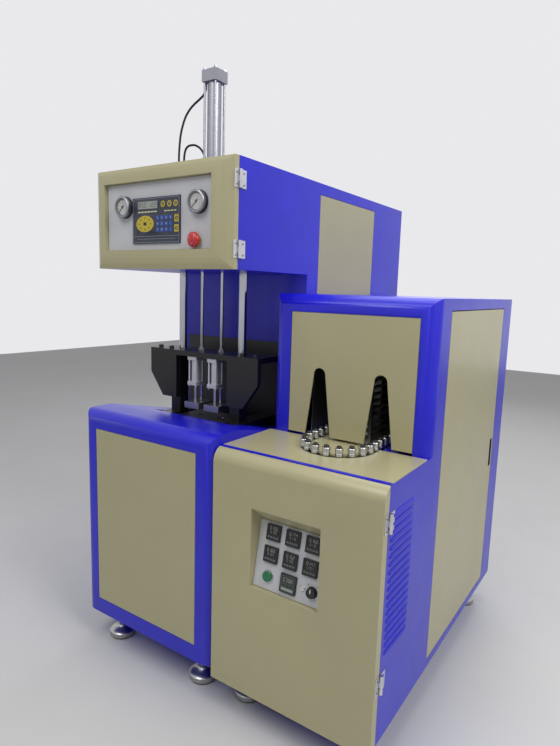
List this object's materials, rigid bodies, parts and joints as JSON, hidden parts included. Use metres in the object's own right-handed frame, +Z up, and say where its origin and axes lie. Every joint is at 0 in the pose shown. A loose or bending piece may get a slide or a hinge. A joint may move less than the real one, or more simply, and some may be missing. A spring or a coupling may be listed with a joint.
{
  "type": "stretch blow moulding machine",
  "caption": "Semi-automatic bottle blowing machine: a tall blower with a press and stretch cylinder, beside a low preform heating oven with a ring of holders.",
  "frame": {"origin": "middle of the machine's floor area, at floor level under the foot pads", "axes": "+X to the right as the operator sees the fronts, +Y from the fronts to the back, +Z up"},
  "size_m": [1.206, 1.37, 2.115],
  "materials": {
    "blue_paint": "glossy powder coat",
    "beige_paint": "satin powder coat",
    "grey_plate": "satin",
    "black_steel": "semi gloss black",
    "chrome": "polished",
    "steel": "machined",
    "aluminium": "anodised satin",
    "black_rubber": "matt",
    "black_plastic": "matt",
    "navy_film": "satin membrane",
    "red_plastic": "gloss",
    "green_plastic": "gloss",
    "pale_plastic": "gloss",
    "lamp_glass": "clear tube"
  },
  "bodies": {
    "frame": {"base_cabinet": "blue_paint", "base_front_panel": "beige_paint", "upper_housing": "blue_paint", "column_side_panel": "beige_paint", "rear_panels": "beige_paint", "foot_pads": "black_rubber", "foot_cups": "chrome", "foot_nuts": "steel", "stretch_cylinder_caps": "aluminium", "stretch_cylinder_barrel": "aluminium", "guide_columns": "chrome", "air_hoses": "black_rubber", "hose_fittings": "chrome", "press_bed": "black_steel", "press_posts": "black_steel", "press_top_plate": "black_steel", "press_back_plate": "black_steel", "rod_glands": "steel", "seal_cylinders": "aluminium", "front_platen": "black_steel", "front_mould_half": "aluminium", "clamp_tie_bars": "chrome", "clamp_cylinder": "steel", "oven_cabinet": "blue_paint", "oven_front_panel": "beige_paint", "hinge_leaves": "chrome", "side_door_pivots": "steel", "oven_table": "beige_paint", "slot_edging": "black_plastic", "chain_guard": "beige_paint", "chain_track": "steel", "preform_holders": "chrome", "chain_links": "steel", "lamp_tubes": "lamp_glass", "lamp_brackets": "steel", "reflectors": "aluminium"},
    "head_door": {"head_door": "beige_paint", "instrument_plate": "grey_plate", "gauge_cases": "chrome", "control_panel": "navy_film", "head_hinge_knuckles": "chrome"},
    "left_needle": {"left_needle": "black_plastic"},
    "right_needle": {"right_needle": "black_plastic"},
    "stop_button": {"stop_button": "red_plastic"},
    "stretch_carriage": {"stretch_piston": "chrome", "stretch_crosshead": "steel", "stretch_rods": "chrome"},
    "left_nozzle": {"left_nozzle": "aluminium"},
    "right_nozzle": {"right_nozzle": "aluminium"},
    "clamp_carriage": {"rear_platen": "black_steel", "rear_mould_half": "aluminium", "clamp_piston": "chrome"},
    "oven_front_door": {"oven_front_door": "beige_paint", "controller_plate": "grey_plate", "controllers": "black_plastic", "status_lamp": "pale_plastic", "oven_hinge_knuckles": "chrome"},
    "start_button": {"start_button": "green_plastic"},
    "selector_knob": {"selector_knob": "black_plastic"},
    "oven_side_door": {"oven_side_door": "beige_paint"}
  },
  "joints": [
    {"name": "head_door_hinge", "type": "hinge", "parent": "frame", "child": "head_door", "pos_m": [0.0313, -0.582, 1.573], "axis": [0, 0, 1], "range_deg": [0, 110]},
    {"name": "left_needle_turn", "type": "hinge", "parent": "head_door", "child": "left_needle", "pos_m": [-0.464, -0.617, 1.613], "axis": [0, 1, 0], "range_deg": [0, 270]},
    {"name": "right_needle_turn", "type": "hinge", "parent": "head_door", "child": "right_needle", "pos_m": [-0.123, -0.617, 1.613], "axis": [0, 1, 0], "range_deg": [0, 270]},
    {"name": "stop_button_press", "type": "slide", "parent": "head_door", "child": "stop_button", "axis": [0, 1, 0], "range_m": [0, 0.005], "stiffness_N_per_m": 900, "springref_m": -0.003},
    {"name": "stretch_slide", "type": "slide", "parent": "frame", "child": "stretch_carriage", "axis": [0, 0, -1], "range_m": [0, 0.26]},
    {"name": "left_seal_slide", "type": "slide", "parent": "frame", "child": "left_nozzle", "axis": [0, 0, -1], "range_m": [0, 0.022]},
    {"name": "right_seal_slide", "type": "slide", "parent": "frame", "child": "right_nozzle", "axis": [0, 0, -1], "range_m": [0, 0.022]},
    {"name": "clamp_slide", "type": "slide", "parent": "frame", "child": "clamp_carriage", "axis": [0, 1, 0], "range_m": [0, 0.06]},
    {"name": "oven_front_door_hinge", "type": "hinge", "parent": "frame", "child": "oven_front_door", "pos_m": [0.5973, -0.655, 0.537], "axis": [0, 0, 1], "range_deg": [0, 110]},
    {"name": "start_button_press", "type": "slide", "parent": "oven_front_door", "child": "start_button", "axis": [0, 0.9817, -0.1905], "range_m": [0, 0.003], "stiffness_N_per_m": 700, "springref_m": -0.002},
    {"name": "selector_knob_turn", "type": "hinge", "parent": "oven_front_door", "child": "selector_knob", "pos_m": [0.38, -0.664, 0.50423], "axis": [0, 0.9817, -0.1905], "range_deg": [-45, 45]},
    {"name": "oven_side_door_hinge", "type": "hinge", "parent": "frame", "child": "oven_side_door", "pos_m": [0.585, -0.246, 0.724], "axis": [0, 0, -1], "range_deg": [0, 110]}
  ]
}
